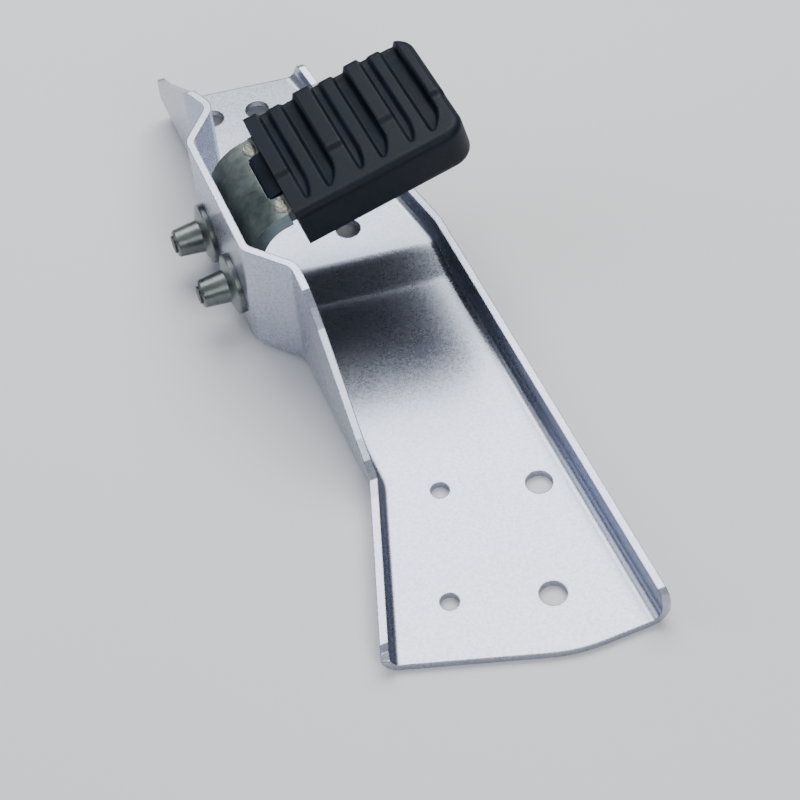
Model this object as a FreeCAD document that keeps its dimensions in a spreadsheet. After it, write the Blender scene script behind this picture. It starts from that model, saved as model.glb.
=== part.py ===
import FreeCAD, Part

import math
import os
import re

import Sketcher

# A foot pedal on a pressed-steel mounting bracket, in millimetres.
#
# Part frame: the origin is the centre of the four front bolt holes, on the underside of the floor, +X along
# their rows towards the low right wall, +Y towards the rear and +Z up. The channel is turned from it by
# "skew", so every piece is drawn square to the channel, with Y along it, and its Placement turns it into the
# part frame. The rear bolt rows and the fold are turned from the channel by "rear_turn".

Vector = FreeCAD.Vector
Rotation = FreeCAD.Rotation
Placement = FreeCAD.Placement

SIZES = {
    # sheet and its bends
    "sheet": 3, "bend_inside": 4, "skew": 19.3, "rear_turn": 9,
    # plan of the channel
    "left_wall_x": 31.7, "right_wall_x": 41.4, "lip_reach": 43, "front_reach": 48, "front_corner": 24,
    "divide_x": 12, "rear_left_y": 264, "rear_right_y": 254.5, "rear_right_x": 24,
    "taper_start": 143.3, "spare": 20,
    # pocket pressed out of the left wall, and the ear behind it
    "pocket_depth": 13.5, "pocket_front": 123, "pocket_length": 63.3, "jog_front": 16, "jog_rear": 15,
    "ear_out": 5.2, "ear_run": 13,
    # step between the two floors
    "rear_step": 4, "fold_front": 128, "fold_run": 14, "fold_radius": 12,
    # plan radii of the wall's corners
    "lip_corner": 15, "jog_corner": 5, "pocket_corner": 7, "taper_corner": 14,
    "front_round": 60, "tip_round": 4,
    # wall heights, from the underside of the front floor
    "left_height": 56, "lip_height": 10, "slope_foot": 41, "slope_head": 92, "slope_ease": 10,
    "ear_fall": 212, "ear_knee_y": 250, "ear_knee_height": 29, "ear_tip_height": 23,
    "right_height": 15, "right_tip": 15, "right_dip": 13, "right_tip_run": 14,
    # bolt holes
    "front_pitch_across": 36, "front_pitch_along": 48, "small_hole": 7, "large_hole": 10,
    "rear_hole": 10, "rear_pair_x": 20.4, "rear_pair_y": 245.9, "rear_pair_pitch": 19.5,
    "rear_single_x": 8, "rear_single_y": 160.8,
    # bent arm
    "arm_plate": 6, "arm_front": 126.5, "arm_width": 54, "arm_foot": 8.5, "arm_foot_bevel": 4.5,
    "bend_outside": 20, "bend_centre": 38.5, "pedal_rise": 12.8, "arm_leg": 3, "arm_taper": 8,
    "pedal_pitch": 2.6,
    # steel core and rubber pad
    "core_plate": 5, "core_length": 64, "core_width": 46, "pad_gap": 0.3,
    "pad_length": 70.7, "pad_width": 60.2, "pad_thick": 19.5, "pad_above": 5, "pad_start": 5,
    "pad_front": 120, "pad_round": 5,
    # weld between arm and core
    "weld_radius": 1.6, "weld_inset": 0.5, "weld_length": 9.5, "notch_deep": 4,
    # lockbolts
    "bolt_pitch": 31, "bolt_y": 157.5, "bolt_z": 18.5, "pin": 7, "pin_fit": 0.1,
    "head": 15, "head_edge": 1.5, "head_thick": 4.5, "head_slope": 3,
    "flange": 24, "flange_thick": 4, "flange_edge": 2.2, "barrel_wall": 2, "barrel_flare": 1.1,
    "barrel_length": 10.5, "barrel_bevel": 0.6, "pin_proud": 0.8, "rim_round": 0.8,
}

doc = FreeCAD.newDocument("pedal_bracket")
sheet = doc.addObject("Spreadsheet::Sheet", "Sizes")
for row, (word, number) in enumerate(SIZES.items(), start=1):
    sheet.set("A%d" % row, str(number))
    sheet.setAlias("A%d" % row, word)
doc.recompute()


def size(word):
    """The number that the sheet holds under this name."""
    return float(sheet.get(word))


def bound(text):
    """An expression with every name of the sheet written in full."""
    return re.sub("[a-z_]+", lambda found: "Sizes." + found[0] if found[0] in SIZES else found[0], text)


def plane(body, role):
    return next(item for item in body.Origin.OriginFeatures if item.Role == role)


def new_body(name):
    body = doc.addObject("PartDesign::Body", name)
    body.Label = name
    return body


def outline(body, name, role, points, offset=None, turn=0.0):
    """A closed sketch of straight lines. Each point is a pair of expressions."""
    sketch = body.newObject("Sketcher::SketchObject", name)
    sketch.AttachmentSupport = [(plane(body, role), "")]
    sketch.MapMode = "FlatFace"
    shift = offset if offset is not None else Vector()
    sketch.AttachmentOffset = Placement(shift, Rotation(Vector(0, 0, 1), turn))
    values = [(number(along), number(up)) for along, up in points]
    count = len(points)
    for index in range(count):
        start = Vector(*values[index], 0)
        end = Vector(*values[(index + 1) % count], 0)
        sketch.addGeometry(Part.LineSegment(start, end), False)
    for index in range(count):
        sketch.addConstraint(Sketcher.Constraint("Coincident", index, 2, (index + 1) % count, 1))
    for index, (along, up) in enumerate(points):
        pin_point(sketch, index, 1, values[index], along, up)
    return sketch


def pin_point(sketch, geometry, end, value, along, up):
    """Ties one point of a sketch to its two expressions."""
    for kind, distance, text in (("DistanceX", value[0], along), ("DistanceY", value[1], up)):
        place = sketch.addConstraint(Sketcher.Constraint(kind, -1, 1, geometry, end, distance))
        sketch.setExpression("Constraints[%d]" % place, bound(text))


def circles(body, name, role, holes, offset=None):
    """A sketch of circles, each a pair of centre expressions and a diameter expression."""
    sketch = body.newObject("Sketcher::SketchObject", name)
    sketch.AttachmentSupport = [(plane(body, role), "")]
    sketch.MapMode = "FlatFace"
    if offset is not None:
        sketch.AttachmentOffset = Placement(offset, Rotation())
    for index, (along, up, diameter) in enumerate(holes):
        value = (number(along), number(up))
        centre = Vector(*value, 0)
        sketch.addGeometry(Part.Circle(centre, Vector(0, 0, 1), number(diameter) / 2), False)
        pin_point(sketch, index, 3, value, along, up)
        place = sketch.addConstraint(Sketcher.Constraint("Diameter", index, number(diameter)))
        sketch.setExpression("Constraints[%d]" % place, bound(diameter))
    return sketch


def number(text):
    """What an expression comes to with the sizes in the sheet."""
    return float(sheet.evalExpression(bound(text)))


def pad(body, name, sketch, length, midplane=False):
    feature = body.newObject("PartDesign::Pad", name)
    feature.Profile = sketch
    feature.Midplane = midplane
    feature.setExpression("Length", bound(length))
    doc.recompute()
    return feature


def cut(body, name, sketch, both=False, flip=False):
    """A pocket through everything, which has to take some material away."""
    before = body.Shape.Volume
    feature = body.newObject("PartDesign::Pocket", name)
    feature.Profile = sketch
    feature.Type = "ThroughAll"
    feature.Midplane = both
    feature.Reversed = flip
    doc.recompute()
    if body.Shape.Volume > before - 1:
        raise RuntimeError(name + " cuts nothing")
    return feature


def dress(body, name, kind, wanted, text):
    """A fillet or chamfer of a named size on the edges of the body so far that are wanted."""
    before = body.Tip
    edges = ["Edge%d" % place for place, edge in enumerate(before.Shape.Edges, start=1) if wanted(edge)]
    if not edges:
        raise RuntimeError(name + " finds no edge")
    feature = body.newObject("PartDesign::" + kind, name)
    feature.Base = (before, edges)
    feature.setExpression("Radius" if kind == "Fillet" else "Size", bound(text))
    doc.recompute()
    return feature


def middle(edge):
    return edge.valueAt((edge.FirstParameter + edge.LastParameter) / 2)


def runs(edge, axis):
    """Whether an edge is straight and along an axis."""
    if len(edge.Vertexes) < 2 or not isinstance(edge.Curve, (Part.Line, Part.LineSegment)):
        return False
    way = (edge.Vertexes[-1].Point - edge.Vertexes[0].Point).normalize()
    return abs(way.dot(axis)) > 0.999


def outward(face):
    """The outward normal in the middle of a face."""
    first_u, last_u, first_v, last_v = face.ParameterRange
    return face.normalAt((first_u + last_u) / 2, (first_v + last_v) / 2)


def channel_place():
    """Turns a piece from the channel's own directions into the part frame."""
    return Placement(Vector(), Rotation(Vector(0, 0, 1), size("skew")))


def pedal_place():
    """The pedal's pieces also tip about the bolt pair, in the plane of the left wall."""
    pivot = Vector(0, size("bolt_y"), size("bolt_z"))
    tip = Placement(Vector(), Rotation(Vector(1, 0, 0), -size("pedal_pitch")), pivot)
    return channel_place().multiply(tip)


def pair(label, bodies):
    """The two pieces of a pair, as one node of separate solids."""
    group = doc.addObject("Part::Compound", label)
    group.Label = label
    group.Links = bodies
    doc.recompute()
    return group


# ---------------------------------------------------------------- base bracket

def in_channel(along, back):
    """A point given along and behind the front bolt rows, in the channel's directions."""
    return ("(%s)*cos(skew)+(%s)*sin(skew)" % (along, back),
            "0-(%s)*sin(skew)+(%s)*cos(skew)" % (along, back))


LEFT = "0-left_wall_x"
POCKET = "0-left_wall_x-pocket_depth"
EAR = "0-left_wall_x-ear_out"
POCKET_REAR = "pocket_front+pocket_length"
VALLEY = "pocket_front+pocket_length+jog_rear"
LIP_REAR = "(lip_reach*cos(skew)-left_wall_x)/sin(skew)"


REAR_SLOPE = "(rear_right_y-rear_left_y)/(rear_right_x+left_wall_x+ear_out)"
TAPER = "(right_wall_x-rear_right_x)/(rear_right_y-taper_start)"


def plan_points():
    """The plan of the bracket from the front left round by the left wall, with both ends left overlong."""
    return [
        in_channel("0-lip_reach", "0-front_reach-spare"),
        in_channel("0-lip_reach", LIP_REAR),
        (LEFT, "pocket_front-jog_front"),
        (POCKET, "pocket_front"),
        (POCKET, POCKET_REAR),
        (LEFT, VALLEY),
        (EAR, VALLEY + "+ear_run"),
        (EAR, "rear_left_y+spare"),
        ("rear_right_x-spare*" + TAPER, "rear_right_y+spare"),
        ("right_wall_x", "taper_start"),
        ("right_wall_x", in_channel("front_corner", "0-front_reach-spare")[1]),
    ]


# Plan radii by the corner's place in the list above: of the wall's outer face, then of its inner face.
OUTER_RADII = {"lip_corner": [1], "jog_corner": [2, 5, 6], "pocket_corner": [3, 4], "taper_corner": [9]}
INNER_RADII = {"lip_corner-sheet": [1], "jog_corner+sheet": [2, 5], "jog_corner-sheet": [6],
               "pocket_corner-sheet": [3, 4], "taper_corner-sheet": [9]}


def near(edge, sketch, corners, reach=0.01):
    """Whether an upright edge stands within reach of one of these corners of a sketch on the ground plane."""
    if not runs(edge, Vector(0, 0, 1)):
        return False
    foot = middle(edge)
    for corner in corners:
        point = sketch.getPoint(corner, 1)
        if math.hypot(foot.x - point.x, foot.y - point.y) < reach:
            return True
    return False


def is_end(face):
    """Whether a face closes the front or rear of the channel."""
    return abs(outward(face).y) > 0.8


def along_floor(shape, edge):
    """Whether an edge runs between the underside and a side wall."""
    sides = shape.ancestorsOfType(edge, Part.Face)
    wall = [face for face in sides if abs(outward(face).z) < 0.01 and not is_end(face)]
    under = [face for face in sides if outward(face).z < -0.5]
    return len(wall) == 1 and len(under) == 1


def make_block(body, profile, plan, radii, reach, lift, bends):
    """A solid block with the walls of this profile, a stepped underside lifted so far, and rounded edges."""
    kind = "outer" if lift == "0" else "inner"
    pad(body, kind + "_block", profile, "left_height+10")
    for place, (text, corners) in enumerate(radii.items()):
        dress(body, "%s_corners_%d" % (kind, place), "Fillet",
              lambda edge: near(edge, plan, corners, reach), text)
    # The corners of the step move forwards as the floor is lifted, so that the sheet keeps its thickness.
    back = "-(%s)*tan(atan(rear_step/fold_run)/2)" % lift
    low, high = lift, "rear_step+" + lift
    step = [("0-400", "0-1"), ("0-400", low), ("fold_front" + back, low),
            ("fold_front+fold_run" + back, high), ("rear_left_y+100", high), ("rear_left_y+100", "0-1")]
    fold = outline(body, kind + "_fold_profile", "YZ_Plane", step)
    fold.AttachmentOffset = Placement(Vector(), Rotation(Vector(0, 1, 0), -size("rear_turn")))
    cut(body, kind + "_raised_floor", fold, both=True)
    across = Rotation(Vector(0, 0, 1), -size("rear_turn")).multVec(Vector(1, 0, 0))
    for end, level, text in (("front", low, "fold_radius-" + lift), ("rear", high, "fold_radius+" + lift)):
        height = number(level)
        dress(body, "%s_fold_%s" % (kind, end), "Fillet", lambda edge: runs(edge, across)
              and abs(middle(edge).z - height) < 0.01
              and abs(middle(edge).y - size("fold_front")) < 2 * size("fold_run"), text)
    blank = body.Tip.Shape
    dress(body, kind + "_bends", "Fillet", lambda edge: along_floor(blank, edge), bends)


def make_bracket():
    """A pressed sheet, open at the top, the front and the rear: an outer block less an inner one."""
    body = new_body("base_bracket")
    plan = outline(body, "plan", "XY_Plane", plan_points())
    make_block(body, plan, plan, OUTER_RADII, 0.01, "0", "bend_inside+sheet")
    inner = new_body("bracket_hollow")
    inset = inner.newObject("PartDesign::SubShapeBinder", "inner_plan")
    inset.Support = [(plan, ("",))]
    inset.Relative = False
    inset.OffsetJoinType = "Intersection"
    inset.setExpression("Offset", "0-Sizes.sheet")
    doc.recompute()
    make_block(inner, inset, plan, INNER_RADII, 2 * size("sheet"), "sheet", "bend_inside")
    hollow = body.newObject("PartDesign::Boolean", "hollow")
    hollow.Type = "Cut"
    hollow.setObjects([inner])
    doc.recompute()
    trim_ends(body)
    trim_walls(body)
    drill(body)
    body.Placement = channel_place()
    return body


def trim_ends(body):
    """Cuts the overlong ends off, seen from above."""
    left = in_channel("0-lip_reach-40", "0-front_reach")
    turn = in_channel("front_corner", "0-front_reach")
    front = [turn, ("right_wall_x+40", turn[1]), ("right_wall_x+40", turn[1] + "-3*spare"),
             (left[0], turn[1] + "-3*spare"), left]
    sketch = outline(body, "front_end", "XY_Plane", front)
    cut(body, "front_trim", sketch, both=True)
    dress(body, "front_rounding", "Fillet", lambda edge: near(edge, sketch, [0]), "front_round")
    rear = [(EAR + "-40", "rear_left_y-40*" + REAR_SLOPE), (EAR + "-40", "rear_left_y+3*spare"),
            ("rear_right_x+40", "rear_left_y+3*spare"), ("rear_right_x+40", "rear_right_y+40*" + REAR_SLOPE)]
    cut(body, "rear_trim", outline(body, "rear_end", "XY_Plane", rear), both=True)


def from_divide():
    """Moves a side view's sketch to the plane that parts the left wall from the right one."""
    return Vector(0, 0, -size("divide_x"))


def trim_walls(body):
    """Cuts the left and right walls to their heights, seen from the side."""
    top = "left_height+100"
    front = in_channel("0-lip_reach", "0-front_reach")[1]
    left = [("0-200", top), ("0-200", "lip_height-tip_round"), (front, "lip_height-tip_round")]
    left += tip_corner(front, "lip_height", "+")
    left += eased("slope_foot", "lip_height", "")
    left += reversed(eased("slope_head", "left_height", "-"))
    left += [("ear_fall", "left_height"), ("ear_knee_y", "ear_knee_height")]
    left += reversed(tip_corner("rear_left_y", "ear_tip_height", "-"))
    left += [("rear_left_y", "ear_tip_height-tip_round"), ("rear_left_y+40", "ear_tip_height-tip_round"),
             ("rear_left_y+40", top)]
    cut(body, "left_wall_top", outline(body, "left_profile", "YZ_Plane", left, from_divide()))
    front = in_channel("front_corner", "0-front_reach")[1]
    right = [("0-200", top), ("0-200", "right_height-tip_round"), (front, "right_height-tip_round")]
    right += tip_corner(front, "right_height", "+")
    right += [("fold_front", "right_height"), ("rear_right_y-right_tip_run", "right_dip")]
    right += reversed(tip_corner("rear_right_y", "right_tip", "-"))
    right += [("rear_right_y", "right_tip-tip_round"), ("rear_right_y+40", "right_tip-tip_round"),
              ("rear_right_y+40", top)]
    cut(body, "right_wall_top", outline(body, "right_profile", "YZ_Plane", right, from_divide()), flip=True)


def eased(corner, height, way):
    """Points that ease the left wall's top between a level run and its slope, from the level run on."""
    rise = "(left_height-lip_height)/(slope_head-slope_foot)*slope_ease"
    points = []
    for share, climb in ((-1, 0), (-0.33, 0.112), (0.33, 0.442), (1, 1)):
        if way:
            points.append(("%s+%s*slope_ease" % (corner, -share), "%s-%s*%s" % (height, climb, rise)))
        else:
            points.append(("%s+%s*slope_ease" % (corner, share), "%s+%s*%s" % (height, climb, rise)))
    return points


def tip_corner(end, height, way):
    """Two points that round off a wall's top corner at one end, from the end inwards."""
    return [("%s%s0.3*tip_round" % (end, way), height + "-0.3*tip_round"),
            ("%s%stip_round" % (end, way), height)]


def bolt_place(end):
    """Expressions for where a lockbolt crosses the left wall: end is "front" or "rear"."""
    back, up = ("-", "+") if end == "front" else ("+", "-")
    return ("bolt_y%sbolt_pitch/2*cos(pedal_pitch)" % back, "bolt_z%sbolt_pitch/2*sin(pedal_pitch)" % up)


def drill(body):
    """The bolt holes in both floors, and the two lockbolt holes in the pocket's wall."""
    front = []
    for side, diameter in (("0-", "small_hole"), ("", "large_hole")):
        for end in ("0-", ""):
            place = in_channel(side + "front_pitch_across/2", end + "front_pitch_along/2")
            front.append((place[0], place[1], diameter))
    cut(body, "front_holes", circles(body, "front_hole_plan", "XY_Plane", front), both=True)
    rear = [("0-rear_pair_x", "rear_pair_y", "rear_hole"),
            ("0-rear_pair_x+rear_pair_pitch*cos(rear_turn)",
             "rear_pair_y-rear_pair_pitch*sin(rear_turn)", "rear_hole"),
            ("rear_single_x", "rear_single_y", "rear_hole")]
    cut(body, "rear_holes", circles(body, "rear_hole_plan", "XY_Plane", rear), both=True)
    bolts = [bolt_place(end) + ("pin+pin_fit",) for end in ("front", "rear")]
    cut(body, "bolt_holes", circles(body, "bolt_hole_plan", "YZ_Plane", bolts, from_divide()))


# ---------------------------------------------------------------- pedal arm, core plate, weld and pad

ARM_FACE = "(0-left_wall_x-pocket_depth+sheet)"        # inner face of the pocket, which the arm lies on
BEND_X = "(0-left_wall_x-pocket_depth+sheet+bend_outside)"


def on_leg(along, above):
    """A point of the sloping leg: how far along it from the bend, and how far from the bend's centre."""
    return ("%s+(%s)*cos(pedal_rise)-(%s)*sin(pedal_rise)" % (BEND_X, along, above),
            "bend_centre+(%s)*sin(pedal_rise)+(%s)*cos(pedal_rise)" % (along, above))


def leg_box(body, name, start, length, low, high, front, width):
    """A block on the sloping leg: its ends along the leg, its faces from the bend's centre, its width."""
    points = [on_leg(start, low), on_leg(start + "+" + length, low),
              on_leg(start + "+" + length, high), on_leg(start, high)]
    # The XZ plane faces the front, so the sketch stands at the rear side and is padded forwards.
    side = outline(body, name + "_profile", "XZ_Plane", points, Vector(0, 0, -number(front + "+" + width)))
    return pad(body, name, side, width)


def make_arm():
    body = new_body("pedal_arm")
    inner = ARM_FACE + "+arm_plate"
    thin = "bend_outside-arm_plate"
    # The corners where the two faces of the upright meet the two faces of the leg.
    outer_corner = (ARM_FACE, "bend_centre+bend_outside*tan((90-pedal_rise)/2)")
    inner_corner = (inner, "bend_centre+(%s)*tan((90-pedal_rise)/2)" % thin)
    points = [(ARM_FACE, "arm_foot"), (inner, "arm_foot"), inner_corner, on_leg("arm_leg", thin),
              on_leg("arm_leg", "bend_outside"), outer_corner]
    offset = Vector(0, 0, -number("arm_front+arm_width"))
    side = outline(body, "arm_profile", "XZ_Plane", points, offset)
    pad(body, "bent_plate", side, "arm_width")
    rearward = Vector(0, 1, 0)
    for name, place, text in (("outside_bend", outer_corner, "bend_outside"),
                              ("inside_bend", inner_corner, thin)):
        spot = Vector(number(place[0]), 0, number(place[1]))
        dress(body, name, "Fillet", lambda edge: runs(edge, rearward)
              and math.hypot(middle(edge).x - spot.x, middle(edge).z - spot.z) < 0.01, text)
    foot = Vector(number(ARM_FACE), 0, size("arm_foot"))
    dress(body, "foot_bevel", "Chamfer", lambda edge: runs(edge, rearward)
          and math.hypot(middle(edge).x - foot.x, middle(edge).z - foot.z) < 0.01, "arm_foot_bevel")
    # The rear edge leans forward towards the bend.
    lean = [("arm_front+arm_width+1", "bolt_z+head"), ("arm_front+arm_width+1", "bend_centre+2*bend_outside"),
            ("arm_front+arm_width-arm_taper", "bend_centre+2*bend_outside"),
            ("arm_front+arm_width-arm_taper", "bend_centre"), ("arm_front+arm_width", "bolt_z+head")]
    cut(body, "rear_lean", outline(body, "rear_lean_profile", "YZ_Plane", lean), both=True)
    # A notch in the middle of the leg's end parts the two welds.
    end, deep = [on_leg(along, "bend_outside")[0] for along in ("arm_leg+3", "arm_leg-notch_deep")]
    front, rear = WELD_INNER
    gap = [(end, front), (end, rear), (deep, rear + "-2"), (deep, front + "+2")]
    cut(body, "middle_notch", outline(body, "notch_profile", "XY_Plane", gap), both=True)
    holes = [("bolt_y%sbolt_pitch/2" % way, "bolt_z", "pin+pin_fit") for way in ("-", "+")]
    cut(body, "arm_bolt_holes", circles(body, "arm_hole_plan", "YZ_Plane", holes,
                                        Vector(0, 0, number(inner) + 1)))
    body.Placement = pedal_place()
    return body


CORE_LOW = "bend_outside-core_plate"
CORE_FRONT = "pad_front+pad_width/2-core_width/2"
WELD_OUTER = "arm_front+arm_width-arm_taper-weld_inset"
# Where the two welds end and the notch between them starts, front and rear.
WELD_INNER = (CORE_FRONT + "+weld_inset+weld_length", WELD_OUTER + "-weld_length")


def make_core():
    """The flat steel plate inside the rubber, in line with the arm's leg and flush with its upper face."""
    body = new_body("pedal_core_plate")
    leg_box(body, "core", "arm_leg", "core_length", CORE_LOW, "bend_outside", CORE_FRONT, "core_width")
    body.Placement = pedal_place()
    return body


def make_pad():
    """The rubber sleeve: a rounded block with a slot for the core, open towards the arm."""
    body = new_body("pedal_pad")
    leg_box(body, "rubber", "pad_start", "pad_length", "bend_outside+pad_above-pad_thick",
            "bend_outside+pad_above", "pad_front", "pad_width")
    mouth = number(on_leg("pad_start+pad_round", "0")[0])
    dress(body, "rubber_rounds", "Fillet", lambda edge: middle(edge).x > mouth, "pad_round")
    slot = [on_leg("pad_start-5", CORE_LOW + "-pad_gap"),
            on_leg("arm_leg+core_length+pad_gap", CORE_LOW + "-pad_gap"),
            on_leg("arm_leg+core_length+pad_gap", "bend_outside+pad_gap"),
            on_leg("pad_start-5", "bend_outside+pad_gap")]
    front = CORE_FRONT + "-pad_gap"
    profile = outline(body, "slot_profile", "XZ_Plane", slot, Vector(0, 0, -number(front)))
    before = body.Shape.Volume
    feature = body.newObject("PartDesign::Pocket", "slot")
    feature.Profile = profile
    feature.setExpression("Length", bound("core_width+2*pad_gap"))
    doc.recompute()
    if body.Shape.Volume > before - 1:
        raise RuntimeError("the slot cuts nothing")
    body.Placement = pedal_place()
    return body


def make_weld():
    """Two half-round beads over the ends of the joint, on the flush upper faces of the arm and the core."""
    rise = size("pedal_rise")
    turned_up = Rotation(Vector(0, 1, 0), -rise)
    along = turned_up.multVec(Vector(1, 0, 0))
    above = turned_up.multVec(Vector(0, 0, 1))
    joint = on_leg("arm_leg", "bend_outside")
    beads = []
    for end, rear in (("front", WELD_INNER[0]), ("rear", WELD_OUTER)):
        bead = doc.addObject("Part::Cylinder", "weld_bead_" + end)
        bead.Label = "weld_bead_" + end
        bead.Angle = 180
        bead.setExpression("Radius", "Sizes.weld_radius")
        bead.setExpression("Height", "Sizes.weld_length")
        foot = Vector(number(joint[0]), number(rear), number(joint[1]))
        facing = Rotation(along, above, Vector(0, -1, 0), "XYZ")
        bead.Placement = pedal_place().multiply(Placement(foot, facing))
        beads.append(bead)
    return pair("weld_beads", beads)


# ---------------------------------------------------------------- lockbolts

def turned(name, points, end):
    """A body turned about the axis of one lockbolt. Points are pairs: place along X and radius."""
    body = new_body(name + "_" + end)
    sketch = outline(body, "profile_" + name + "_" + end, "XY_Plane", points)
    feature = body.newObject("PartDesign::Revolution", "turned_" + name + "_" + end)
    feature.Profile = sketch
    feature.ReferenceAxis = (sketch, ["H_Axis"])
    feature.Angle = 360
    doc.recompute()
    way = "+" if end == "rear" else "-"
    axis = Vector(0, number("bolt_y" + way + "bolt_pitch/2"), size("bolt_z"))
    body.Placement = pedal_place().multiply(Placement(axis, Rotation()))
    return body


SEAT = "(0-left_wall_x-pocket_depth+sheet+arm_plate)"      # inner face of the arm, under the pin's head
WALL = "(0-left_wall_x-pocket_depth)"                      # outer face of the pocket, under the flange
TIP = "(0-left_wall_x-pocket_depth-flange_thick-barrel_length)"


def make_pins():
    points = [(TIP + "-pin_proud", "0"), (TIP + "-pin_proud", "pin/2"), (SEAT, "pin/2"), (SEAT, "head/2"),
              (SEAT + "+head_edge", "head/2"), (SEAT + "+head_thick", "head/2-head_slope"),
              (SEAT + "+head_thick", "0")]
    return pair("lockbolt_pins", [turned("pin", points, end) for end in ("front", "rear")])


def make_collars():
    points = [(WALL, "(pin+pin_fit)/2"), (WALL, "flange/2"), (WALL + "-flange_edge", "flange/2"),
              (WALL + "-flange_thick", "pin/2+barrel_wall+barrel_flare"),
              (TIP + "+barrel_bevel", "pin/2+barrel_wall"), (TIP, "pin/2+barrel_wall-barrel_bevel"),
              (TIP, "(pin+pin_fit)/2")]
    bodies = []
    for end in ("front", "rear"):
        body = turned("collar", points, end)
        rim = number(WALL + "-flange_edge")
        dress(body, "rim_" + end, "Fillet", lambda edge: abs(edge.Curve.Radius - size("flange") / 2) < 0.01
              and abs(middle(edge).x - rim) < 0.01 if hasattr(edge.Curve, "Radius") else False, "rim_round")
        bodies.append(body)
    return pair("lockbolt_collars", bodies)


# ---------------------------------------------------------------- build, check and write

def check(pieces):
    """Stops if any object failed or any piece is not sound."""
    for item in doc.Objects:
        if "Invalid" in item.State or "Error" in item.State:
            raise RuntimeError(item.Label + " failed: " + ", ".join(item.State))
    for piece in pieces:
        shape = piece.Shape
        if shape.isNull() or not shape.isValid() or shape.Volume <= 0:
            raise RuntimeError(piece.Label + " has no sound shape")
        print(piece.Label, len(shape.Solids), "solid(s)", round(shape.Volume, 1), "mm3")


PIECES = [make_bracket(), make_arm(), make_core(), make_weld(), make_pad(), make_pins(), make_collars()]
doc.recompute()
check(PIECES)
os.makedirs("parts", exist_ok=True)
for node in PIECES:
    node.Shape.exportStep(os.path.join("parts", node.Label + ".step"))
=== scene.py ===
import math

import bpy
import numpy as np
from mathutils import Matrix, Vector


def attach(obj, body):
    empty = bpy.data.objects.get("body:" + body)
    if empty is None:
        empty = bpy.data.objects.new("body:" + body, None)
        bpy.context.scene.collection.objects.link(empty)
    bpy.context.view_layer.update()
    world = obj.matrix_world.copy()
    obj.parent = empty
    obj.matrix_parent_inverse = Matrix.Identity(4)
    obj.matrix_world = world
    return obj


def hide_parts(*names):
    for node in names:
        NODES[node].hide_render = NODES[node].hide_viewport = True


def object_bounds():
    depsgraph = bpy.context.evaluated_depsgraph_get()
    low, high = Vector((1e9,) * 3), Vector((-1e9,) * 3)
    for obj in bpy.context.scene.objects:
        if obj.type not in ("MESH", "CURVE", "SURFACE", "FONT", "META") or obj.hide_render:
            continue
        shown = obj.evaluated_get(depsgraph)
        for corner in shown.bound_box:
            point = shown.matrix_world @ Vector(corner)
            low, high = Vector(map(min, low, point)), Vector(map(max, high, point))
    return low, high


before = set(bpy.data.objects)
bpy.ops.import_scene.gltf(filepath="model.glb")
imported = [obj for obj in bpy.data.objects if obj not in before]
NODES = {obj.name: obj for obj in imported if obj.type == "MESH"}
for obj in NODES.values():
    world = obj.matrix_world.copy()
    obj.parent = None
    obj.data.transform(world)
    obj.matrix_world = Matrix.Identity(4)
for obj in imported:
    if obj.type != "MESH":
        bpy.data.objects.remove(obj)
CAD_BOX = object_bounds()

MM = 0.001

# The pedal's own directions, as the CAD turns them: the leg rises, the pedal tips about the bolts, and the
# whole channel is skewed on its bolt holes.
SKEW = math.radians(19.3)
PITCH = math.radians(2.6)
RISE = math.radians(12.8)


def turn(axis, angle):
    return np.array(Matrix.Rotation(angle, 3, axis))


CHANNEL = turn("Z", SKEW)
PEDAL = CHANNEL @ turn("X", -PITCH)
LEG = PEDAL @ turn("Y", -RISE)


def corners(node, axes):
    """The lowest and highest corner of a CAD node along these axes, in metres."""
    mesh = NODES[node].data
    points = np.empty(len(mesh.vertices) * 3)
    mesh.vertices.foreach_get("co", points)
    local = points.reshape(-1, 3) @ axes
    return local.min(axis=0), local.max(axis=0)


# ------------------------------------------------------------------ materials

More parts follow.
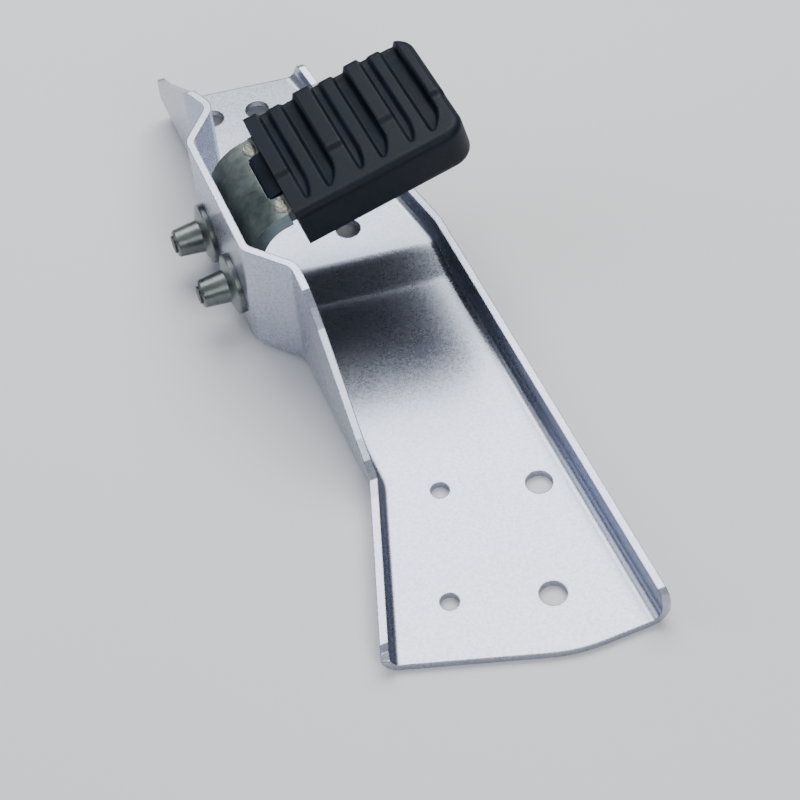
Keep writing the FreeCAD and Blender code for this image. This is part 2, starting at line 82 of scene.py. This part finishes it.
class Nodes:
    """A material's node tree, with short calls to add and join nodes."""

    def __init__(self, name):
        self.material = bpy.data.materials.new(name)
        self.material.use_nodes = True
        self.tree = self.material.node_tree
        self.shader = self.tree.nodes["Principled BSDF"]
        place = self.tree.nodes.new("ShaderNodeTexCoord")
        self.place = place.outputs["Object"]

    def add(self, kind, **inputs):
        node = self.tree.nodes.new("ShaderNode" + kind)
        for socket, value in inputs.items():
            self.put(node.inputs[socket.replace("_", " ")], value)
        return node

    def put(self, socket, value):
        if isinstance(value, bpy.types.NodeSocket):
            self.tree.links.new(value, socket)
        else:
            socket.default_value = value

    def noise(self, scale, detail=3.0, roughness=0.5, place=None):
        node = self.add("TexNoise", Vector=place or self.place, Scale=scale, Detail=detail,
                        Roughness=roughness)
        return node.outputs["Fac"]

    def ramp(self, value, *stops):
        node = self.add("ValToRGB", Fac=value)
        band = node.color_ramp
        while len(band.elements) < len(stops):
            band.elements.new(0.5)
        for element, (place, color) in zip(band.elements, stops):
            element.position = place
            element.color = (*color, 1.0)
        return node.outputs["Color"]

    def spread(self, value, low, high, start=0.0, end=1.0):
        node = self.add("MapRange", Value=value)
        limits = (("From Min", start), ("From Max", end), ("To Min", low), ("To Max", high))
        for name, number in limits:
            node.inputs[name].default_value = number
        return node.outputs["Result"]

    def multiply(self, share, first, second):
        """Two colours multiplied, at this share. A Mix node's colour sockets have numbers 6, 7 and 2."""
        node = self.tree.nodes.new("ShaderNodeMix")
        node.data_type = "RGBA"
        node.blend_type = "MULTIPLY"
        self.put(node.inputs[0], share)
        self.put(node.inputs[6], first)
        self.put(node.inputs[7], second)
        return node.outputs[2]

    def total(self, first, second):
        node = self.tree.nodes.new("ShaderNodeMath")
        node.operation = "ADD"
        self.put(node.inputs[0], first)
        self.put(node.inputs[1], second)
        return node.outputs[0]

    def bump(self, height, strength, distance, under=None):
        node = self.add("Bump", Height=height, Strength=strength, Distance=distance)
        if under is not None:
            self.put(node.inputs["Normal"], under)
        return node.outputs["Normal"]

    def rounded(self, radius):
        """A normal that softens the sharp edges of sheet and bar."""
        node = self.add("Bevel", Radius=radius)
        node.samples = 6
        return node.outputs["Normal"]

    def finish(self, **inputs):
        for socket, value in inputs.items():
            self.put(self.shader.inputs[socket.replace("_", " ")], value)
        return self.material


def zinc():
    """Bright zinc plate: fine mottling, faint lilac and straw tints, slightly uneven sheen."""
    m = Nodes("zinc_plate_finish")
    fine = m.noise(900.0, 4.0, 0.65)
    broad = m.noise(24.0, 3.0, 0.55)
    tint = m.noise(11.0, 2.0, 0.5)
    base = m.ramp(fine, (0.30, (0.36, 0.39, 0.46)), (0.52, (0.46, 0.49, 0.58)),
                  (0.75, (0.57, 0.60, 0.69)))
    straw = m.ramp(tint, (0.45, (0.96, 0.96, 1.0)), (0.66, (1.0, 0.99, 0.92)))
    color = m.multiply(0.8, base, straw)
    cloud = m.ramp(broad, (0.32, (0.86, 0.87, 0.90)), (0.68, (1.0, 1.0, 1.0)))
    color = m.multiply(0.7, color, cloud)
    rough = m.total(m.spread(fine, 0.25, 0.31, 0.25, 0.75), m.spread(broad, -0.03, 0.03, 0.3, 0.7))
    normal = m.bump(fine, 0.02, 0.00025, m.rounded(0.0007))
    return m.finish(Base_Color=color, Metallic=0.94, Roughness=rough, Normal=normal)


def dull_steel(name, dark, light, rough_low, rough_high):
    """Dull plating over bar stock, with faint scuffs and a dusty grey-green cast."""
    m = Nodes(name)
    grain = m.noise(420.0, 5.0, 0.6)
    patch = m.noise(38.0, 4.0, 0.6)
    stretched = m.add("Mapping", Vector=m.place, Scale=(30.0, 260.0, 30.0)).outputs["Vector"]
    streak = m.noise(2.2, 3.0, 0.55, stretched)
    base = m.ramp(patch, (0.32, dark), (0.70, light))
    dust = m.ramp(grain, (0.3, (0.45, 0.46, 0.45)), (0.7, (1.0, 1.0, 0.98)))
    base = m.multiply(0.35, base, dust)
    scuff = m.ramp(streak, (0.35, (0.62, 0.64, 0.63)), (0.65, (1.0, 1.0, 1.0)))
    base = m.multiply(0.30, base, scuff)
    rough = m.total(m.spread(patch, rough_low, rough_high, 0.3, 0.7), m.spread(grain, -0.04, 0.05, 0.3, 0.7))
    normal = m.bump(grain, 0.22, 0.0003, m.rounded(0.0005))
    return m.finish(Base_Color=base, Metallic=0.85, Roughness=rough, Normal=normal)


def weld_finish():
    """Rough weld metal under a pale, slightly yellow plating."""
    m = Nodes("weld_metal_finish")
    grain = m.noise(650.0, 5.0, 0.7)
    patch = m.noise(120.0, 3.0, 0.6)
    base = m.ramp(patch, (0.36, (0.20, 0.21, 0.20)), (0.52, (0.50, 0.49, 0.42)),
                  (0.70, (0.74, 0.72, 0.62)))
    normal = m.bump(grain, 0.6, 0.0006)
    rough = m.spread(grain, 0.38, 0.62, 0.3, 0.7)
    return m.finish(Base_Color=base, Metallic=0.6, Roughness=rough, Normal=normal)


def rubber():
    """Moulded rubber: near-black with a blue cast and a faint dry bloom."""
    m = Nodes("pad_rubber_finish")
    grain = m.noise(1400.0, 3.0, 0.6)
    bloom = m.noise(60.0, 4.0, 0.6)
    base = m.ramp(bloom, (0.35, (0.003, 0.006, 0.013)), (0.70, (0.007, 0.013, 0.024)))
    dust = m.ramp(grain, (0.35, (0.6, 0.6, 0.62)), (0.7, (1.0, 1.0, 1.0)))
    base = m.multiply(0.4, base, dust)
    normal = m.bump(grain, 0.20, 0.00025)
    rough = m.total(m.spread(bloom, 0.46, 0.58, 0.35, 0.7), m.spread(grain, -0.04, 0.05, 0.35, 0.65))
    # Painted shade: the gloss is cut where the rubber is occluded, so the grooves come out darker than the open
    # rubber.
    open_sky = m.add("AmbientOcclusion", Distance=0.006).outputs["AO"]
    occlusion_shaded_gloss = m.spread(open_sky, 0.02, 0.24, 0.25, 0.95)
    return m.finish(Base_Color=base, Roughness=rough, Normal=normal, Specular_IOR_Level=occlusion_shaded_gloss)


def paint(node, material):
    """Gives a CAD node a better material in all its slots."""
    for slot in NODES[node].material_slots:
        slot.material = material


# ------------------------------------------------------------------ new pieces

def piece(name, points, faces, material, replaced, sharp=40.0):
    """A new mesh that rides on the one body and stands for a CAD node."""
    mesh = bpy.data.meshes.new(name)
    mesh.from_pydata([tuple(point) for point in points], [], [tuple(face) for face in faces])
    mesh.validate()
    mesh.shade_smooth()
    mesh.set_sharp_from_angle(angle=math.radians(sharp))
    mesh.materials.append(material)
    item = bpy.data.objects.new(name, mesh)
    bpy.context.scene.collection.objects.link(item)
    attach(item, "root")
    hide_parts(replaced)


def step(value, start, end):
    """A smooth climb from 0 at start to 1 at end."""
    share = np.clip((value - start) / (end - start), 0.0, 1.0)
    return share * share * (3 - 2 * share)


# The pad, in millimetres. A groove is its two edges, from the mouth along the leg. Grooves run forwards from the
# pad's rear edge.
NARROW = [(6.2, 9.8), (28.7, 32.2), (49.8, 53.4)]
WIDE = [(15.6, 21.0), (38.0, 43.0), (58.6, 64.6)]
NARROW_DEPTH = 3.0
WIDE_DEPTH = 4.4
RIB_DROP = 1.4
GROOVE_END = 53.5
BAND_END = (36.0, 39.6)
CORNER = 9.0
TOP_ROUND = 3.2
BOTTOM_ROUND = 3.6
# The plain ends of a groove: its right edge comes in over TAPER_RUN until TIP_WIDTH is left, and its floor
# comes up between the two places round GROOVE_END. At the rear edge it has only REAR_SHARE of its depth.
BANK = 0.8
TAPER_RUN = 12.0
TIP_WIDTH = 1.4
FLOOR_RISE = (-2.0, 1.2)
REAR_SHARE = 0.45
REAR_RUN = (0.5, 7.0)
# Places beyond the pad's two ends, so that the first and the last rib have no outer edge.
BEYOND = (-9.0, 90.0)
# How far under the top the sides begin to follow the grooves, and where they do so fully.
PRESS_FROM = 9.0
PRESS_FULL = 2.0
SLOT_GAP = 0.3
# The pad's grid, along the leg, across it and up.
GRID = (0.5, 0.6, 0.8)
# A steep wall in a grid: two lines this far from it, and no other line nearer than PAIR_CLEAR.
PAIR_HALF = 0.06
PAIR_CLEAR = 0.2
# The rubber lip: its section from the core's bare end and top, and, in metres, its gap to the welds.
LIP_SECTION = [(-5.2, -5.3), (-0.2, -5.3), (-0.2, 0.15), (2.2, 0.15), (2.2, 1.3), (-1.8, 0.7), (-3.4, 0.1),
               (-4.2, -0.8)]
LIP_GAP = 0.0006
LIP_ROWS = 24
LIP_SAG = 0.5
LIP_WAVES = 5.3

# The welds, in millimetres: length, half width, height, depth of the skirt, shift towards the arm.
WELD_RUN = 9.5
WELD_HALF = 3.0
WELD_RISE = 1.65
WELD_SINK = 0.25
WELD_SHIFT = 0.9
WELD_RINGS = 90
WELD_SPOKES = 70

# Points nearer than this are one point, in metres.
MERGE = 2e-6
TINY = 1e-9


def between(along, left, right):
    """1 between the two edges and 0 outside them, with a bank across each edge."""
    return step(along, left - BANK, left + BANK) * (1 - step(along, right - BANK, right + BANK))


def carve(along, back):
    """How deep the pad's top lies under its highest bands, at this place from the mouth and the rear edge."""
    drop = np.full_like(along, RIB_DROP)
    starts = [BEYOND[0]] + [right for left, right in WIDE]
    ends = [left for left, right in NARROW] + [BEYOND[1]]
    for left, right in zip(starts, ends):
        drop -= RIB_DROP * between(along, left, right) * (1 - step(back, *BAND_END))
    for grooves, depth in ((NARROW, NARROW_DEPTH), (WIDE, WIDE_DEPTH)):
        for left, right in grooves:
            taper = np.clip((back - GROOVE_END + TAPER_RUN) / TAPER_RUN, 0.0, 1.0) ** 2
            inside = between(along, left, right - (right - left - TIP_WIDTH) * taper)
            inside *= 1 - step(back, GROOVE_END + FLOOR_RISE[0], GROOVE_END + FLOOR_RISE[1])
            inside *= REAR_SHARE + (1 - REAR_SHARE) * step(back, *REAR_RUN)
            drop = drop + (depth - drop) * inside
    return drop


def grid_faces(rows, columns, first, flip):
    """The quads of a grid of points, numbered from first."""
    faces = []
    for i in range(rows - 1):
        for j in range(columns - 1):
            a = first + i * columns + j
            quad = (a, a + 1, a + columns + 1, a + columns)
            faces.append(quad[::-1] if flip else quad)
    return faces


def block_sides(us, vs, ns):
    """The six sides of a block: each one's points, its grid's shape, and whether its quads are turned over."""
    steps = (us, vs, ns)
    sides = []
    for axis in range(3):
        first, second = [k for k in range(3) if k != axis]
        a, b = np.meshgrid(steps[first], steps[second], indexing="ij")
        for high in (False, True):
            points = np.empty(a.shape + (3,))
            points[..., first] = a
            points[..., second] = b
            points[..., axis] = steps[axis][-1 if high else 0]
            sides.append((points.reshape(-1, 3), a.shape, high == (axis == 1)))
    return sides


def round_block(points, length, width, height):
    """Rounds a block in plan at its free end and along its top, its underside and its mouth."""
    u, v, n = points.T.copy()
    cu = np.minimum(u, length - CORNER)
    cv = np.clip(v, CORNER, width - CORNER)
    du, dv = u - cu, v - cv
    most = np.maximum(np.abs(du), np.abs(dv))
    far = np.hypot(du, dv)
    safe = np.where(far > TINY, far, 1.0)
    way_u, way_v = du / safe, dv / safe
    inset = CORNER - most
    for level, radius, inwards in ((height - n, TOP_ROUND, -1), (n, BOTTOM_ROUND, 1)):
        near = (inset < radius) & (level < radius)
        lead = np.where(inset > level, inset, -level)
        angle = np.radians(45 + 45 * np.clip(lead / radius, -1, 1))
        new_inset = radius - radius * np.cos(angle)
        new_level = radius - radius * np.sin(angle)
        inset = np.where(near, new_inset, inset)
        shift = np.where(near, new_level - level, 0.0)
        n = n + inwards * shift
    reach = np.where(far > TINY, CORNER - inset, 0.0)
    return np.stack([cu + way_u * reach, cv + way_v * reach, n], axis=1)


def spaced(start, end, step_size, extra=()):
    """Evenly spaced places, with a close pair of lines across each extra place for a steep wall there."""
    even = np.linspace(start, end, int(round((end - start) / step_size)) + 1)
    pairs = [place + side for place in extra for side in (-PAIR_HALF, PAIR_HALF)]
    kept = [value for value in even if all(abs(value - place) > PAIR_CLEAR for place in extra)]
    return np.array(sorted(kept + pairs))


def mouth_tongue(first):
    """The rubber's lower lip: it fills the notch in the arm's end and lies over the core's bare end."""
    bead_low, bead_high = corners("weld_beads", LEG)
    core_low, core_high = corners("pedal_core_plate", LEG)
    start = bead_low[1] + WELD_RUN * MM + LIP_GAP
    end = bead_high[1] - WELD_RUN * MM - LIP_GAP
    points, faces, around = [], [], len(LIP_SECTION)
    for i, back in enumerate(np.linspace(start, end, LIP_ROWS)):
        share = i / (LIP_ROWS - 1)
        sag = LIP_SAG * math.sin(LIP_WAVES * share * math.pi) * share * (1 - share)
        for u, n in LIP_SECTION:
            # Only the edge towards the arm is wavy.
            out = u + (sag if u < -1 else 0)
            points.append((core_low[0] + out * MM, back, core_high[2] + n * MM))
    for i in range(LIP_ROWS - 1):
        for j in range(around):
            a, b = first + i * around + j, first + i * around + (j + 1) % around
            faces.append((a, a + around, b + around, b))
    faces.append([first + j for j in range(around)])
    last = first + (LIP_ROWS - 1) * around
    faces.append([last + j for j in reversed(range(around))])
    return np.array(points), faces


def make_pad():
    """The rubber pad: a rounded block pressed down along its grooves, with a slot for the core and a lip."""
    low, high = corners("pedal_pad", LEG)
    core_low, core_high = corners("pedal_core_plate", LEG)
    length, width, height = (high - low) / MM
    slot_low = (core_low - low) / MM - SLOT_GAP
    slot_high = (core_high - low) / MM + SLOT_GAP
    us = spaced(0.0, length, GRID[0])
    vs = spaced(0.0, width, GRID[1], (slot_low[1], slot_high[1]))
    ns = spaced(0.0, height, GRID[2], (slot_low[2], slot_high[2]))
    points, faces, count = [], [], 0
    for raw, (rows, columns), flip in block_sides(us, vs, ns):
        shaped = round_block(raw, length, width, height)
        # Grooves press the top down, and the rear side's top edge with it.
        down = carve(shaped[:, 0], width - shaped[:, 1])
        fade = step(shaped[:, 2], height - PRESS_FROM, height - PRESS_FULL)
        shaped[:, 2] -= down * fade
        # The part of the mouth over the slot goes back to the slot's end.
        inside = (raw[:, 0] < TINY) & (raw[:, 1] > slot_low[1]) & (raw[:, 1] < slot_high[1])
        inside &= (raw[:, 2] > slot_low[2]) & (raw[:, 2] < slot_high[2])
        shaped[inside, 0] = slot_high[0]
        shaped[inside, 1:] = raw[inside, 1:]
        points.append(shaped)
        faces += grid_faces(rows, columns, count, flip)
        count += rows * columns
    tongue, tongue_faces = mouth_tongue(count)
    faces += tongue_faces
    local = np.concatenate([np.concatenate(points) * MM + low, tongue])
    points, faces = merge_points(local @ LEG.T, faces)
    piece("rubber_foot_pad", points, faces, rubber(), "pedal_pad", 50.0)


def merge_points(points, faces):
    """Joins points that lie on each other, and drops the faces that this closes up."""
    keys = {}
    index = []
    kept = []
    for point in np.round(points / MERGE).astype(np.int64):
        key = tuple(point)
        if key not in keys:
            keys[key] = len(kept)
            kept.append(len(index))
        index.append(keys[key])
    joined = []
    for face in faces:
        ring = []
        for corner in face:
            if index[corner] not in ring:
                ring.append(index[corner])
        if len(ring) > 2:
            joined.append(ring)
    return points[kept], joined


def ripple(x, y, seed):
    """A smooth, repeatable unevenness between about -1 and 1."""
    total = np.zeros_like(x)
    for k in range(1, 6):
        across = np.sin(x * (0.9 * k + 0.37 * seed) + 1.7 * k + seed)
        total += across * np.cos(y * (1.1 * k - 0.21 * seed) + k) / k
    return total / 1.9


def make_weld():
    """The two welds over the ends of the joint: low ragged patches with frozen ripples and torn edges."""
    low, high = corners("weld_beads", LEG)
    joint = (low[0] + high[0]) / 2 / MM
    front, rear = low[1] / MM, high[1] / MM
    face = low[2] / MM
    points, faces = [], []
    out, around = np.meshgrid(np.linspace(0, 1, WELD_RINGS), np.linspace(0, math.tau, WELD_SPOKES),
                              indexing="ij")
    for start, end, seed in ((front, front + WELD_RUN, 3), (rear - WELD_RUN, rear, 5)):
        first = len(points)
        # Rings from the crown outwards: the outline wanders, and the top is lumpy.
        wander = 1 + 0.17 * ripple(np.cos(around) * 2.1 + seed, np.sin(around) * 2.1, seed)
        wide = WELD_HALF * wander * (1 - 0.35 * np.clip(np.cos(around), 0, 1))
        long = (end - start) / 2 * (0.90 + 0.10 * np.cos(3 * around + seed))
        u = joint - WELD_SHIFT + wide * out * np.cos(around)
        v = (start + end) / 2 + long * out * np.sin(around)
        dome = np.sqrt(np.clip(1 - out ** 2.6, 0, 1))
        lump = 1 + 0.22 * ripple(u * 1.3, v * 1.3, seed) + 0.10 * np.sin(v * 4.2 + np.cos(u))
        n = face - WELD_SINK + WELD_RISE * dome * np.clip(lump, 0.3, 1.12)
        ring = np.stack([u, v, n], axis=-1).reshape(-1, 3)
        points += [tuple(point) for point in ring * MM]
        faces += grid_faces(WELD_RINGS, WELD_SPOKES, first, False)
        rim = first + (WELD_RINGS - 1) * WELD_SPOKES
        faces.append([rim + j for j in reversed(range(WELD_SPOKES - 1))])
    points, faces = merge_points(np.array(points) @ LEG.T, faces)
    piece("weld_patches", points, faces, weld_finish(), "weld_beads", 70.0)


# ------------------------------------------------------------------ stage

def area_light(name, place, aim, size, power, color=(1.0, 1.0, 1.0)):
    light = bpy.data.lights.new(name, "AREA")
    light.shape = "RECTANGLE"
    light.size, light.size_y = size
    light.energy = power
    light.color = color
    item = bpy.data.objects.new(name, light)
    item.location = place
    item.rotation_euler = (Vector(aim) - Vector(place)).to_track_quat("-Z", "Y").to_euler()
    bpy.context.scene.collection.objects.link(item)


def make_floor():
    mesh = bpy.data.meshes.new("floor")
    reach = 4.0
    level = CAD_BOX[0][2]
    points = [(x * reach, y * reach, level) for x, y in ((-1, -1), (1, -1), (1, 1), (-1, 1))]
    mesh.from_pydata(points, [], [(0, 1, 2, 3)])
    m = Nodes("floor_finish")
    cloud = m.noise(3.0, 2.0, 0.5)
    color = m.ramp(cloud, (0.3, (0.92, 0.92, 0.92)), (0.7, (0.94, 0.94, 0.94)))
    m.finish(Base_Color=color, Roughness=0.75)
    mesh.materials.append(m.material)
    item = bpy.data.objects.new("floor", mesh)
    bpy.context.scene.collection.objects.link(item)


def make_world():
    """A soft studio sky: dark below, pale above."""
    world = bpy.data.worlds.new("studio")
    bpy.context.scene.world = world
    world.use_nodes = True
    tree = world.node_tree
    place = tree.nodes.new("ShaderNodeTexCoord")
    split = tree.nodes.new("ShaderNodeSeparateXYZ")
    ramp = tree.nodes.new("ShaderNodeValToRGB")
    tree.links.new(place.outputs["Generated"], split.inputs[0])
    tree.links.new(split.outputs["Z"], ramp.inputs["Fac"])
    band = ramp.color_ramp
    band.elements[0].position, band.elements[0].color = 0.0, (0.015, 0.02, 0.045, 1)
    band.elements[1].position, band.elements[1].color = 0.85, (0.85, 0.88, 0.95, 1)
    middle = band.elements.new(0.50)
    middle.color = (0.10, 0.12, 0.18, 1)
    back = tree.nodes["Background"]
    tree.links.new(ramp.outputs["Color"], back.inputs["Color"])
    back.inputs["Strength"].default_value = 0.55


def make_camera():
    """Looks from in front and above, as the photo was taken."""
    # As fitted to the photo, in metres and radians.
    place = Vector((-0.02103, -0.40394, 0.58730))
    yaw, pitch, roll = -0.019016, 0.891984, 0.098739
    ahead = Vector((math.sin(yaw) * math.cos(pitch), math.cos(yaw) * math.cos(pitch), -math.sin(pitch)))
    right = Vector((math.cos(yaw), -math.sin(yaw), 0.0))
    down = ahead.cross(right)
    side = math.cos(roll) * right + math.sin(roll) * down
    below = -math.sin(roll) * right + math.cos(roll) * down
    lens = bpy.data.cameras.new("camera")
    lens.lens = 90.0
    lens.sensor_width = 36.0
    item = bpy.data.objects.new("camera", lens)
    turned = Matrix((side, -below, -ahead)).transposed().to_4x4()
    item.matrix_world = Matrix.Translation(place) @ turned
    bpy.context.scene.collection.objects.link(item)
    bpy.context.scene.camera = item


paint("base_bracket", zinc())
paint("pedal_arm", dull_steel("arm_steel_finish", (0.15, 0.19, 0.18), (0.31, 0.36, 0.335), 0.30, 0.44))
paint("pedal_core_plate", dull_steel("core_steel_finish", (0.10, 0.11, 0.11), (0.22, 0.24, 0.23), 0.40, 0.55))
paint("lockbolt_pins", dull_steel("pin_steel_finish", (0.05, 0.05, 0.05), (0.14, 0.14, 0.135), 0.36, 0.52))
paint("lockbolt_collars",
      dull_steel("collar_steel_finish", (0.13, 0.15, 0.145), (0.30, 0.33, 0.32), 0.26, 0.40))
make_pad()
make_weld()
make_floor()
make_world()
area_light("key", (0.05, 0.72, 1.05), (-0.03, 0.00, 0.02), (1.1, 0.8), 14.5)
area_light("side", (-0.85, 0.15, 0.60), (-0.03, 0.08, 0.02), (0.5, 0.7), 2.4, (0.84, 0.87, 1.0))
area_light("front", (0.35, -0.75, 0.75), (-0.03, 0.08, 0.02), (0.5, 0.5), 4.0)
make_camera()
